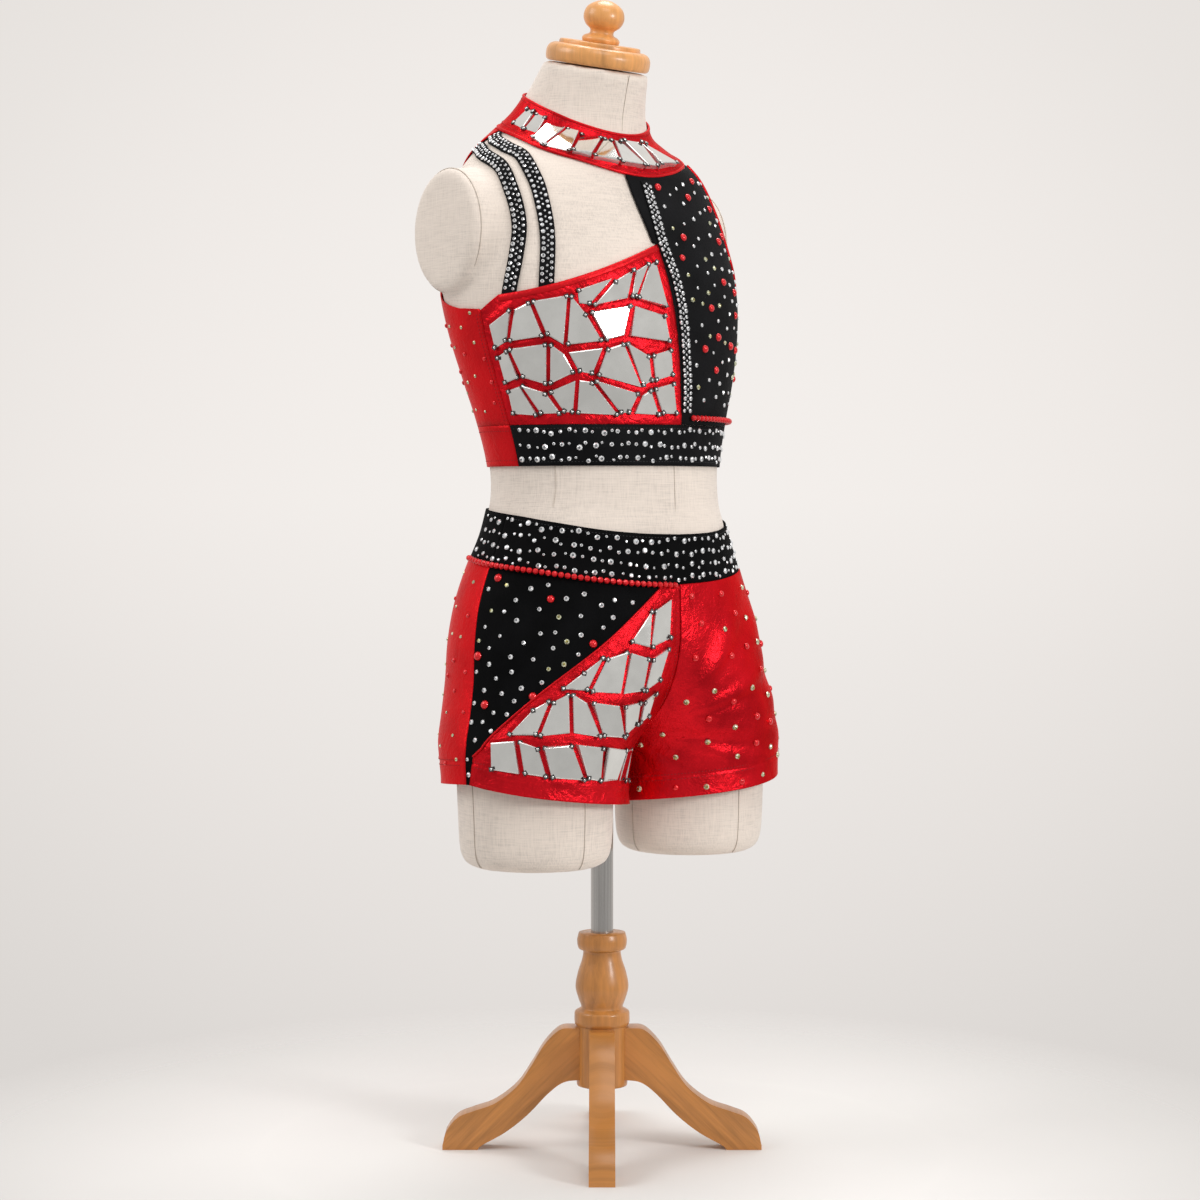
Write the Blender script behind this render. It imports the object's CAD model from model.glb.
import math

import bmesh
import bpy
import numpy as np
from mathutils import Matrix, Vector


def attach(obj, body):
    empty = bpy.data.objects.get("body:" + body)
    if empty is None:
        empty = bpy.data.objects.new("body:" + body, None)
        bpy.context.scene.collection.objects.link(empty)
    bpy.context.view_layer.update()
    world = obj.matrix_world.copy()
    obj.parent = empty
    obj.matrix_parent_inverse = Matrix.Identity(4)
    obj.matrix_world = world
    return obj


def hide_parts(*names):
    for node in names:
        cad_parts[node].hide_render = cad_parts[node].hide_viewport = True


MM = 0.001
SKIN_GAP = 1.0  # cloth stands this far off the form, in mm like every shape below
PANEL_THICK = 1.0
OVER = 2.6  # height above the form of what is sewn on top of a panel
BLACK_OFF = 1.3  # gap below the black panels
BACK_OFF = 1.4  # gap below the red sides and back
WAIST_OFF = 1.2  # gap below the waistband
SEAM_OFF = 0.1  # degrees that a band stays back from its side seam
HEM = 18.2  # a hem is turned up and sewn this far
HEM_RISE = 0.3
HEM_DIP = 0.35  # how far the sewing pulls the hem in
FOLD_ROOT = 372  # height from which the folds of the left front fan out
FOLD_SPREAD = 330  # mm around the leg for one turn
TURN_LENGTH = 1.9  # mm around the back for one degree
STRAP_WIDTH = 13
STRAP_THICK = 1.3

# h, width, front, back, y, tilt, how square
TRUNK = [
    (562, 106, 95.5, 86, -1, 0, 2), (575, 104, 95, 86, -1, 0, 2), (600, 106, 96, 84, 1, 0, 2),
    (635, 115, 98, 84, 4, 0, 2.05), (672, 126, 104, 86, 9, 0, 2.1), (712, 135, 110, 89, 16, 0, 2.15),
    (750, 138, 111, 92, 22, 0, 2.2), (790, 134, 104, 90.5, 28, 0, 2.2), (825, 127, 93, 87, 32, 0, 2.2),
    (850, 117, 83, 79, 33, 0, 2.1), (870, 99, 74, 71, 32, 5, 2), (884, 79, 66, 64, 30, 12, 2),
    (895, 64, 58, 60, 27, 17, 2), (910, 55, 52, 55, 22, 18, 2), (930, 49, 48, 50, 14, 16, 2),
    (946, 46, 46, 46, 7, 13, 2),
]
# h, x, width, front, back, y
HIPS = [
    (300, 87, 79, 78, 76, -15), (330, 87, 77, 78, 76, -14), (352, 86, 78.5, 82, 80, -13),
    (363, 82, 81, 86, 84, -12), (382, 70, 87, 92, 90, -10), (412, 52, 98, 98, 96, -7),
    (444, 34, 112, 101, 100, -4), (475, 20, 119, 101, 98, -1), (505, 10, 118, 100, 94, 0),
    (535, 3, 112, 98, 88, -1), (562, 0, 106, 95.5, 86, -1),
]
# the same columns
THIGHS = [
    (256, 87, 52, 52, 52, -16), (258, 87, 57.5, 57.5, 57.5, -16), (263, 87, 62, 62, 62, -16),
    (272, 87, 64.5, 64.5, 64.5, -16), (300, 87, 66, 66, 66, -16), (345, 86.5, 67.5, 67.5, 67.5, -15),
    (374, 76, 71, 76, 74, -11), (400, 60, 60, 70, 70, -8),
]
# x, depth, height, y, h
SHOULDER = [
    (84, 50, 56, 36, 796), (120, 48, 54.5, 36, 796), (140, 46, 53, 37, 796), (144, 44.5, 51.5, 37, 796),
    (145.5, 42, 49, 37, 796),
]
# turn, top, bottom of the waistband
WAIST = [
    (0, 537, 494), (0.1, 538, 496), (0.2, 541, 500), (0.32, 547, 506), (0.45, 553, 511),
    (0.65, 558, 518), (1, 561, 522),
]
# angle, bottom, top of the collar
COLLAR = [
    (-180, 886, 912), (-105, 883, 911), (-70, 877, 908), (-35, 858, 903), (0, 842, 900), (35, 858, 903),
    (70, 877, 908), (105, 883, 911), (180, 886, 912),
]
BAND = (595, 630)  # bottom and top of the band under the bust
SIDE_ANGLE = 80  # side seams of the band, in degrees
SIDE_TURN = 0.483  # side seams of the shorts, in turns

# rows of a panel: left, height there, height in the middle, right, height there
MIRROR_PANEL = [
    (-80, 630, 630, 3.3, 630), (-80, 664, 668, 2, 672), (-80, 698, 704, 0.7, 712),
    (-80, 726, 731, -0.9, 757), (-70, 738, 752, -1.9, 783),
]
HALTER_PANEL = [
    (3.3, 630, 630, 80, 630), (2, 672, 672, 80, 672), (0.7, 712, 712, 80, 710), (0, 730, 728, 80, 727),
    (-0.9, 757, 753, 66, 742), (-1.9, 783, 781, 54.5, 772), (-3.5, 784.5, 784, 53.5, 778),
    (-4.9, 804, 804, 52.5, 806), (-6.4, 825, 829, 52.5, 838), (-8, 843, 852, 53, 868),
]
# right half of the back: angle, height there, height in the middle
BACK_HALF = [
    (80, 630, 630), (80, 680, 680), (80, 704, 704), (80, 727, 728), (92, 729, 735), (103, 733.5, 744),
    (115, 740, 754), (125, 749, 764.5), (134, 761, 776), (141, 775, 788), (145, 792, 802),
    (146.5, 812, 820), (144.5, 829, 835), (139.5, 842, 846), (131.5, 853, 856), (122, 862.5, 866),
    (112, 872, 876), (103, 884, 888),
]
BACK_PANEL = [(angle, h, middle, 360 - angle, h) for angle, h, middle in BACK_HALF]
BLACK_PANEL = [
    (0.04, 497, 505, 0.483, 515), (0.18, 450, 462, 0.483, 470), (0.32, 410, 420, 0.483, 428),
    (0.41, 379, 384, 0.483, 388), (0.466, 354, 355, 0.483, 356), (0.475, 330, 330, 0.483, 330),
]
SHORTS_MIRROR_PANEL = [
    (0, 497, 497, 0.04, 497), (0, 462, 456, 0.18, 450), (0, 425, 418, 0.32, 410),
    (0, 388, 384, 0.41, 379), (0, 350, 350, 0.466, 354), (0, 304, 314, 0.475, 330),
]
LEFT_FRONT_PANEL = [
    (0, 497, 505, 0.483, 515), (0, 425, 428, 0.483, 440), (0, 350, 354, 0.483, 370),
    (0, 304, 316, 0.483, 330),
]
SHORTS_BACK_PANEL = [
    (0.483, 515, 522, 1, 525), (0.483, 430, 434, 1, 430), (0.483, 370, 362, 1, 356),
    (0.483, 330, 320, 1, 304),
]

# cuts between the flat mirror pieces, strip by strip: start below (place, h) and end above (place, h)
TOP_CUTS = [
    [
        (-77, 637, -76, 661), (-62, 636, -68, 665), (-51, 637, -56, 659), (-46, 637, -42, 669),
        (-26, 636, -36, 668), (-21, 637, -16, 657), (-7, 636, -11, 662), (1.5, 637, -0.5, 668),
    ],
    [
        (-76, 662, -77, 689), (-67, 667, -70, 695), (-55, 661, -51, 699), (-42, 671, -45, 691),
        (-35, 669, -29, 695), (-15, 659, -21, 700), (-10, 664, -11, 690), (-0.5, 670, -1.5, 696),
    ],
    [
        (-77, 691, -77, 715), (-69, 697, -64, 728), (-52, 701, -56, 734), (-45, 693, -40, 739),
        (-29, 697, -34, 724), (-20, 702, -16, 731), (-1.8, 698, -2.6, 723),
    ],
    [
        (-38, 728, -38, 742), (-33, 726, -22, 752), (-17, 733, -13, 761), (-15, 733, -7, 767),
        (-2.8, 726, -4, 770),
    ],
]
SHORTS_CUTS = [
    [
        (0.435, 342, 0.432, 368), (0.378, 339, 0.38, 371), (0.335, 336, 0.345, 366),
        (0.268, 333, 0.285, 368), (0.235, 330, 0.225, 364), (0.185, 328, 0.178, 359),
        (0.15, 326, 0.148, 359), (0.108, 324, 0.112, 352),
    ],
    [
        (0.4, 371, 0.345, 397), (0.345, 370, 0.308, 403), (0.283, 372, 0.272, 409),
        (0.228, 368, 0.24, 402), (0.175, 367, 0.17, 398), (0.125, 377, 0.115, 400),
        (0.085, 382, 0.065, 407),
    ],
    [
        (0.295, 409, 0.24, 427), (0.238, 406, 0.19, 438), (0.168, 403, 0.14, 442),
        (0.112, 404, 0.09, 436), (0.06, 412, 0.035, 444),
    ],
    [
        (0.14, 446, 0.1, 466), (0.09, 440, 0.075, 476), (0.03, 447, 0.025, 485),
    ],
]
COLLAR_CUTS = [
    [
        (-98, 888, -98, 906), (-80, 885, -84, 906), (-64, 877, -70, 905), (-52, 869, -49, 902),
        (-35, 861, -38, 899), (-24, 855, -19, 895), (-10, 850, -12, 893), (2, 848, -6, 893),
        (9, 849, 16, 894), (27, 857, 22, 896),
    ],
]
TILE_GAP = 3.2  # the corners of a mirror piece stay this far inside the cuts

# angle and height of points along the middle of each strap, trim and rope
OUTER_STRAP = [
    (-117, 871), (-108, 869.5), (-101.5, 868.5), (-92, 864.5), (-70, 850),
    (-61, 826), (-58, 800), (-60, 774), (-65, 741.5), (-66, 735),
]
INNER_STRAP = [
    (-103, 880), (-93, 876), (-86, 874), (-76, 870), (-60, 860),
    (-50, 838), (-46.5, 815), (-46, 785), (-48.6, 747.5), (-49.2, 740),
]
HALTER_TRIM = [(0, 838), (0, 810), (0, 782), (1.7, 754), (3, 727), (4.3, 690), (5.5, 662), (6, 641)]
ARMHOLE_PIPING = [(52.3, 864), (52.1, 840), (52.2, 812), (53.2, 780), (55.5, 770), (65, 745), (79, 730)]
TOP_ROPE = [(9, 636), (45, 636), (78, 636)]
SHORTS_ROPE_TURNS = (0.02, 0.12, 0.22, 0.34, 0.47, 0.6)

# radius and height of points up the turned pieces
POST = [
    (20.5, 57), (22.3, 59), (22.3, 106.5), (22.9, 107.4), (24, 110), (24.1, 115), (23.6, 119.2),
    (20.2, 121.4), (18.2, 123.5), (20.8, 131), (23.2, 141), (21.2, 153), (17.4, 165), (16.7, 172),
    (20.6, 174.5), (21.8, 181.5), (20.4, 188),
]
CAP = [
    (43.4, 0.4), (45.3, 2), (46, 6.5), (45.6, 11), (43.4, 14.8), (39.5, 16.8),
    (36.2, 17), (36, 17.3), (35.6, 19.6), (34, 20.6), (30, 20.8),
]
FINIAL = [
    (16, 20.9), (16.6, 24), (14.6, 26.5), (10.8, 28.5), (10.8, 32), (15.4, 36),
    (18, 42.5), (16.6, 49.5), (12.4, 54), (6.4, 57), (2, 58),
]
POLE = [(9.8, 108), (9.8, 420)]
CAP_TILT = 13
# outline of a leg from its seat over the top to the foot: distance out, height
LEG = [
    (17, 105.5), (25, 106), (37, 104.5), (50, 92), (61.5, 73.5), (74.5, 55), (93.5, 40.5), (113, 33.5),
    (126, 28), (135.5, 16.5), (139, 4), (139, 0), (108.5, 0), (104.5, 4), (84, 15.5), (65, 30.5),
    (46.5, 49.5), (33, 59), (17, 61),
]
LEG_HALF_THICK = 11
LEG_YAW = 40
LEG_SEAT = 19.5
LEG_FOOT = 11  # this point of the outline and the next are the corners of the foot

rng = np.random.default_rng(7)


# surfaces of the form

HIP_STEP = 0.004  # small step round the hips, for measuring slopes


def at_height(table, h):
    """Smooth value of every column of a table at a height."""
    t = np.asarray(table, float)
    h = np.clip(np.asarray(h, float), t[0, 0], t[-1, 0])
    i = np.clip(np.searchsorted(t[:, 0], h, side="right") - 1, 0, len(t) - 2)
    before, after = t[np.maximum(i - 1, 0)], t[np.minimum(i + 2, len(t) - 1)]
    a, b = t[i], t[i + 1]
    span = (b[..., :1] - a[..., :1])
    f = (h - t[i, 0])[..., None] / span
    start = (b - before) / (b[..., :1] - before[..., :1])
    end = (after - a) / (after[..., :1] - a[..., :1])
    bend = f * (1 - f) * span
    return a + (b - a) * f * f * (3 - 2 * f) + bend * (1 - f) * start - bend * f * end


def signed_power(v, p):
    return np.sign(v) * np.abs(v) ** p


def trunk_skin(angle, h):
    angle, h = np.broadcast_arrays(np.radians(angle), np.asarray(h, float))
    row = at_height(TRUNK, h)
    width, front, back, y, tilt, square = [row[..., k] for k in range(1, 7)]
    tilt = np.radians(tilt)
    c = signed_power(np.cos(angle), 2 / square)
    forward = np.where(c > 0, front, back) * c
    x = width * signed_power(np.sin(angle), 2 / square)
    return np.stack([x, y - forward * np.cos(tilt), h - forward * np.sin(tilt)], -1)


def unit(v):
    return v / np.maximum(np.linalg.norm(v, axis=-1, keepdims=True), 1e-9)


def on_trunk(angle, h, off=0.0):
    angle, h = np.asarray(angle, float), np.asarray(h, float)
    across = trunk_skin(angle + 2, h) - trunk_skin(angle - 2, h)
    up = trunk_skin(angle, h + 1) - trunk_skin(angle, h - 1)
    return trunk_skin(angle, h) + unit(np.cross(across, up)) * np.asarray(off)[..., None]


def lobe_point(table, side, turn, h, grow, edge):
    turn, h = np.broadcast_arrays(np.asarray(turn, float), np.asarray(h, float))
    row = at_height(table, h)
    x, width, front, back, y = [row[..., k] for k in range(1, 6)]
    start = np.arcsin(np.clip((x - edge) / (width + grow), 0, 0.999995))
    phi = turn * (np.pi + 2 * start) - start
    c = np.cos(phi)
    depth = np.where(c > 0, front, back) + grow
    return np.stack([side * (x + (width + grow) * np.sin(phi)), y - depth * c, h], -1)


def on_lobe(table, side, turn, h, off, edge):
    def at(turn, h, grow=0):
        return lobe_point(table, side, turn, h, grow, edge)

    turn, h = np.broadcast_arrays(np.asarray(turn, float), np.asarray(h, float))
    probe = np.clip(turn, 0.01, 0.99)
    across = at(probe + 0.01, h) - at(probe - 0.01, h)
    up = at(probe, h + 1) - at(probe, h - 1)
    normal = unit(np.cross(across, up))
    level = np.maximum(np.hypot(normal[..., 0], normal[..., 1]), 0.6)
    return at(turn, h, off / level)


def on_hips(side, edge=0.1):
    def surface(turn, h, off=0.0):
        return on_lobe(HIPS, side, turn, h, np.asarray(off, float), edge)

    surface.step = HIP_STEP
    return surface


def around_hips(turn, h, off=0.0):
    """Both halves of the hips as one surface, turn runs from -1 over 0 in front to 1."""
    turn = np.asarray(turn, float)
    turn = np.where(turn > 1, turn - 2, turn)
    side = np.where(turn < 0, -1.0, 1.0)
    return on_lobe(HIPS, side, np.abs(turn), h, np.asarray(off, float), 0)


on_trunk.step = 1.0
around_hips.step = HIP_STEP


def normal_at(surface, u, h, off):
    across = surface(np.asarray(u) + surface.step, h, off) - surface(np.asarray(u) - surface.step, h, off)
    up = surface(u, np.asarray(h) + 1, off) - surface(u, np.asarray(h) - 1, off)
    n = unit(np.cross(across, up))
    out = surface(u, h, np.asarray(off) + 1) - surface(u, h, off)
    return np.where((n * out).sum(-1, keepdims=True) < 0, -n, n)


def collar_edge(angle):
    angle = np.asarray(angle, float)
    return at_height(COLLAR, np.where(angle > 180, angle - 360, angle))[..., 1] - 0.2


def waist_edge(turn):
    return at_height(WAIST, np.minimum(np.abs(turn), 2 - np.abs(turn)))[..., 2] - 0.1


def panel_places(table, ceiling, u, v):
    """Angle or turn, and height, of places on a panel."""
    t = np.asarray(table, float)
    at = np.asarray(v, float) * (len(t) - 1)
    i = np.minimum(at.astype(int), len(t) - 2)
    f = (at - i)[..., None]
    left, left_h, middle_h, right, right_h = np.moveaxis(t[i] * (1 - f) + t[i + 1] * f, -1, 0)
    h = left_h * (1 - u) + right_h * u + 4 * u * (1 - u) * (middle_h - (left_h + right_h) / 2)
    across = left * (1 - u) + right * u
    return across, np.minimum(h, ceiling(across))


# meshes


def new_object(name, points, faces, material=None, smooth=True):
    mesh = bpy.data.meshes.new(name)
    mesh.from_pydata((np.asarray(points) * MM).tolist(), [], [tuple(int(i) for i in f) for f in faces])
    mesh.update()
    mesh.shade_smooth() if smooth else mesh.shade_flat()
    piece = bpy.data.objects.new(name, mesh)
    bpy.context.scene.collection.objects.link(piece)
    if material:
        mesh.materials.append(material)
    return piece


def grid_faces(columns, rows, wrap=False):
    width = columns if wrap else columns + 1
    j, i = np.meshgrid(np.arange(rows), np.arange(columns), indexing="ij")
    a = (j * width + i).ravel()
    b = (j * width + (i + 1) % width).ravel()
    return np.stack([a, b, b + width, a + width], -1)


def length_of(v):
    return np.linalg.norm(v, axis=-1)


def run_of(points):
    """Distance along a line of points."""
    return np.concatenate([[0], np.cumsum(length_of(np.diff(points, axis=0)))])


def set_uv(piece, points, columns, rows, wrap=False):
    """UVs in metres along and up the grid, and the rectangle that the sheet is cut from."""
    p = np.asarray(points).reshape(rows + 1, -1, 3)
    if wrap:
        p = np.concatenate([p, p[:, :1]], 1)
    across, rise = np.diff(p, axis=1), np.diff(p, axis=0)
    u = run_of(p[(rows + 1) // 2]) * MM
    v = np.concatenate([np.zeros((1, columns + 1)), np.cumsum(length_of(rise), 0)]) * MM
    j, i = np.meshgrid(np.arange(rows), np.arange(columns), indexing="ij")
    corners = [(j, i), (j, i + 1), (j + 1, i + 1), (j + 1, i)]
    loops = np.stack([np.stack([u[b], v[a, b]], -1) for a, b in corners], 2)
    piece.data.uv_layers.new(name="UVMap").data.foreach_set("uv", loops.ravel())
    along_row = unit(np.gradient(p, axis=1))[:-1]
    rise = rise - along_row * (rise * along_row).sum(-1, keepdims=True)
    widest, tallest = length_of(across).sum(1).max(), length_of(rise).sum(0).max()
    piece["cut"] = [float(widest) * MM, float(tallest) * MM]


def cloth_from(name, points, columns, rows, material, wrap=False):
    """Sheet with real thickness: the points are its inner side."""
    faces = grid_faces(columns, rows, wrap)
    piece = new_object(name, points.reshape(-1, 3), faces, material)
    set_uv(piece, points, columns, rows, wrap)
    face_out(piece)
    solid = piece.modifiers.new("thickness", "SOLIDIFY")
    solid.thickness = PANEL_THICK * MM
    solid.offset = 1
    return piece


def face_out(piece):
    """Turns the faces so that their normals leave the middle of the object."""
    mesh = piece.data
    normals = np.array([f.normal for f in mesh.polygons])
    centres = np.array([f.center for f in mesh.polygons])
    middle = np.array([0, 5 * MM, 0])
    away = centres - middle
    away[:, 2] = 0
    if (normals * away).sum() < 0:
        mesh.flip_normals()


def panel_cloth(name, table, surface, ceiling, grid, material, relief=None, off=SKIN_GAP, hem=False):
    """Shell of a panel with as many columns and rows as its grid says."""
    columns, rows = grid
    u, v = np.meshgrid(np.linspace(0, 1, columns + 1), np.linspace(0, 1, rows + 1))
    across, h = panel_places(table, ceiling, u, v)
    lift = off + (relief(across, h) if relief else 0)
    if hem:
        above = h - panel_places(table, ceiling, u, np.ones_like(v))[1] - HEM
        lift = lift + HEM_RISE / (1 + np.exp(above * 1.6)) - HEM_DIP * np.exp(-((above / 1.3) ** 2))
    return cloth_from(name, surface(across, h, lift), columns, rows, material)


def smooth_line(table, count):
    """Points along a smooth curve through a table of places."""
    p = np.asarray(table, float)
    s = np.linspace(0, len(p) - 1, count)
    i = np.minimum(s.astype(int), len(p) - 2)
    f = (s - i)[:, None]
    p0 = np.where((i > 0)[:, None], p[np.maximum(i - 1, 0)], 2 * p[i] - p[i + 1])
    p3 = np.where((i < len(p) - 2)[:, None], p[np.minimum(i + 2, len(p) - 1)], 2 * p[i + 1] - p[i])
    a, b = p[i], p[i + 1]
    second = 2 * p0 - 5 * a + 4 * b - p3
    third = 3 * a - p0 - 3 * b + p3
    return 0.5 * (2 * a + (b - p0) * f + second * f**2 + third * f**3)


def line_frames(table, surface, off, count):
    """Points of a line on a surface, its length so far, and its normals and sides."""
    places = smooth_line(table, count * 8)
    dense = surface(places[:, 0], places[:, 1], off)
    run = run_of(dense)
    even = np.linspace(0, run[-1], count)
    u = np.interp(even, run, places[:, 0])
    h = np.interp(even, run, places[:, 1])
    points = surface(u, h, off)
    normals = normal_at(surface, u, h, off)
    along = unit(np.gradient(points, axis=0))
    return points, even, normals, unit(np.cross(normals, along)), along


def ribbon(name, table, surface, width, off, thick, material, count=80, crown=0.25):
    """Strap with a slightly crowned top and rounded edges."""
    points, run, normals, sides, _ = line_frames(table, surface, off, count)
    half = [(0.2, 1 + crown), (0.44, 1), (0.5, 0.7), (0.5, 0)]
    shape = [(-a, b) for a, b in half[::-1]] + half
    rings = [points + sides * (a * width) + normals * (b * thick) for a, b in shape]
    stack = np.stack(rings, 1).reshape(-1, 3)
    n = len(shape)
    faces = grid_faces(n, count - 1, wrap=True).tolist()
    faces.append(list(range(n))[::-1])
    faces.append([(count - 1) * n + k for k in range(n)])
    return new_object(name, stack, faces, material)


def join_solids(name, shape, faces, centres, axes, sizes, material, smooth=False):
    """Many copies of one small shape in one object; axes are the rows of a frame per copy."""
    local = np.asarray(shape, float)[None] * np.broadcast_to(sizes, len(centres))[:, None, None]
    points = np.einsum("kij,kjl->kil", local, axes) + np.asarray(centres)[:, None]
    all_faces = [tuple(i + k * len(shape) for i in f) for k in range(len(centres)) for f in faces]
    return new_object(name, points.reshape(-1, 3), all_faces, material, smooth)


def gem_shape(sides=8):
    """Flat-backed cut stone of unit width."""
    rings = [(0.5, 0.0, 0), (0.46, 0.14, 0), (0.24, 0.34, 0.5)]
    points, faces = [], []
    for radius, z, shift in rings:
        for k in range(sides):
            a = (k + shift) / sides * 2 * math.pi
            points.append((radius * math.cos(a), radius * math.sin(a), z))
    for k in range(sides):
        m = (k + 1) % sides
        faces.append((k, m, sides + m, sides + k))
        faces.append((sides + k, sides + m, 2 * sides + k))
        faces.append((sides + m, 2 * sides + m, 2 * sides + k))
    faces.append(tuple(2 * sides + k for k in range(sides)))
    return points, faces


def dome_shape(sides=10, rings=4):
    points, faces = [(0, 0, 0.36)], []
    for j in range(1, rings + 1):
        a = j / rings * math.pi / 2
        out = 0.5 * math.sin(a)
        for k in range(sides):
            b = k / sides * 2 * math.pi
            points.append((out * math.cos(b), out * math.sin(b), 0.36 * math.cos(a)))
    for k in range(sides):
        faces.append((0, 1 + k, 1 + (k + 1) % sides))
    for j in range(rings - 1):
        for k in range(sides):
            a, b = 1 + j * sides + k, 1 + j * sides + (k + 1) % sides
            faces.append((a, a + sides, b + sides, b))
    return points, faces


def frames_from(normals, turn=None):
    up = np.array([0, 0, 1.0])
    x = unit(np.cross(np.broadcast_to(up, normals.shape), normals))
    y = np.cross(normals, x)
    if turn is not None:
        c, s = np.cos(turn)[:, None], np.sin(turn)[:, None]
        x, y = x * c + y * s, y * c - x * s
    return np.stack([x, y, normals], 1)


def shade_centres(piece, centre, per_stone):
    """Gives the flat table of each cut stone its own, darker material."""
    piece.data.materials.append(centre)
    index = (np.arange(len(piece.data.polygons)) % per_stone == per_stone - 1).astype(np.int32)
    piece.data.polygons.foreach_set("material_index", index)


def set_stones(name, surface, places, sizes, off, material, shape=None, centre=None):
    places, sizes = np.asarray(places, float), np.asarray(sizes, float)
    centres = surface(places[:, 0], places[:, 1], off)
    normals = normal_at(surface, places[:, 0], places[:, 1], off)
    normals = unit(normals + rng.normal(0, 0.05, normals.shape))
    axes = frames_from(normals, rng.uniform(0, math.pi, len(places)))
    points, faces = shape or gem_shape()
    piece = join_solids(name, points, faces, centres, axes, sizes, material, shape is not None)
    if centre:
        shade_centres(piece, centre, len(faces))
    return piece


# materials


def new_look(name, constants):
    """Material with its node tree, its shader and the place on the object."""
    look = bpy.data.materials.new(name)
    look.use_nodes = True
    tree = look.node_tree
    shader = tree.nodes["Principled BSDF"]
    for key, value in constants.items():
        shader.inputs[key].default_value = value
    return look, tree, shader, node(tree, "ShaderNodeTexCoord").outputs["Object"]


def node(tree, kind, **values):
    n = tree.nodes.new(kind)
    for key, value in values.items():
        if key in n.inputs:
            n.inputs[key].default_value = value
        else:
            setattr(n, key, value)
    return n


def ramp(tree, source, stops):
    r = node(tree, "ShaderNodeValToRGB")
    while len(r.color_ramp.elements) > 1:
        r.color_ramp.elements.remove(r.color_ramp.elements[-1])
    r.color_ramp.elements[0].position = stops[0][0]
    r.color_ramp.elements[0].color = (*stops[0][1], 1)
    for position, colour in stops[1:]:
        r.color_ramp.elements.new(position).color = (*colour, 1)
    tree.links.new(source, r.inputs[0])
    return r.outputs[0]


def greys(tree, source, stops):
    return ramp(tree, source, [(position, (value,) * 3) for position, value in stops])


def shades(tint, *shares):
    """Darker and lighter shades of a colour."""
    return [tuple(min(c * share, 1) for c in tint) for share in shares]


def paint(tree, shader, source, places, colours):
    tree.links.new(ramp(tree, source, list(zip(places, colours))), shader.inputs["Base Color"])


def roughen(tree, shader, source, low, high):
    tree.links.new(greys(tree, source, [(0.3, low), (0.7, high)]), shader.inputs["Roughness"])


def noise(tree, vector, scale, detail=4, rough=0.55, distortion=0.0):
    n = node(tree, "ShaderNodeTexNoise", Scale=scale, Detail=detail, Roughness=rough, Distortion=distortion)
    tree.links.new(vector, n.inputs["Vector"])
    return n.outputs["Fac"]


def stretched(tree, vector, scale):
    m = node(tree, "ShaderNodeMapping", Scale=scale)
    tree.links.new(vector, m.inputs["Vector"])
    return m.outputs["Vector"]


def bump(tree, shader, height, strength, distance, before=None):
    b = node(tree, "ShaderNodeBump", Strength=strength, Distance=distance)
    tree.links.new(height, b.inputs["Height"])
    if before is not None:
        tree.links.new(before, b.inputs["Normal"])
    tree.links.new(b.outputs["Normal"], shader.inputs["Normal"])
    return b.outputs["Normal"]


def maths(tree, kind, a, b):
    """Sum, difference or product of a value with another or with a plain number."""
    m = node(tree, "ShaderNodeMath", operation=kind)
    tree.links.new(a, m.inputs[0])
    if isinstance(b, float):
        m.inputs[1].default_value = b
    else:
        tree.links.new(b, m.inputs[1])
    return m.outputs[0]


def linen_material(name, tint=(0.8, 0.7, 0.615)):
    constants = {"Roughness": 0.92, "Sheen Weight": 0.25, "Sheen Roughness": 0.6}
    look, tree, shader, where = new_look(name, constants)
    warp = noise(tree, stretched(tree, where, (900, 900, 60)), 1.0, 3)
    weft = noise(tree, stretched(tree, where, (60, 60, 900)), 1.0, 3)
    slub = maths(tree, "ADD", warp, weft)
    shade = maths(tree, "ADD", slub, noise(tree, where, 9, 3))
    paint(tree, shader, maths(tree, "MULTIPLY", shade, 0.3333), (0.36, 0.5, 0.64), shades(tint, 0.8, 1, 1.1))
    bump(tree, shader, slub, 0.35, 0.0006)
    return look


def along_legs(tree, where):
    """Place turned so that its last axis slants down and out from the post."""
    level = node(tree, "ShaderNodeVectorMath", operation="MULTIPLY")
    level.inputs[1].default_value = (1, 1, 0)
    tree.links.new(where, level.inputs[0])
    out = node(tree, "ShaderNodeVectorMath", operation="LENGTH")
    tree.links.new(level.outputs["Vector"], out.inputs[0])
    split = node(tree, "ShaderNodeSeparateXYZ")
    tree.links.new(where, split.inputs[0])
    join = node(tree, "ShaderNodeCombineXYZ")
    for kind, axis in (("ADD", 0), ("SUBTRACT", 2)):
        tree.links.new(maths(tree, kind, out.outputs["Value"], split.outputs["Z"]), join.inputs[axis])
    return join.outputs[0]


def wood_material(name, tint=(0.49, 0.2, 0.045), legs=False):
    """Straight grain: up the turned pieces, or slanting down and out along the legs."""
    look, tree, shader, where = new_look(name, {"Coat Weight": 0.35, "Coat Roughness": 0.2})
    if legs:
        where = along_legs(tree, where)
    grain = noise(tree, stretched(tree, where, (1, 1, 0.07)), 210, 5, 0.6, 0.25)
    broad = noise(tree, stretched(tree, where, (1, 1, 0.1)), 46, 3, 0.5, 0.5)
    both = maths(tree, "MULTIPLY", maths(tree, "ADD", grain, broad), 0.5)
    paint(tree, shader, both, (0.36, 0.48, 0.62), shades(tint, 0.74, 1, 1.22))
    roughen(tree, shader, grain, 0.46, 0.32)
    bump(tree, shader, grain, 0.12, 0.0004)
    return look


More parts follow.
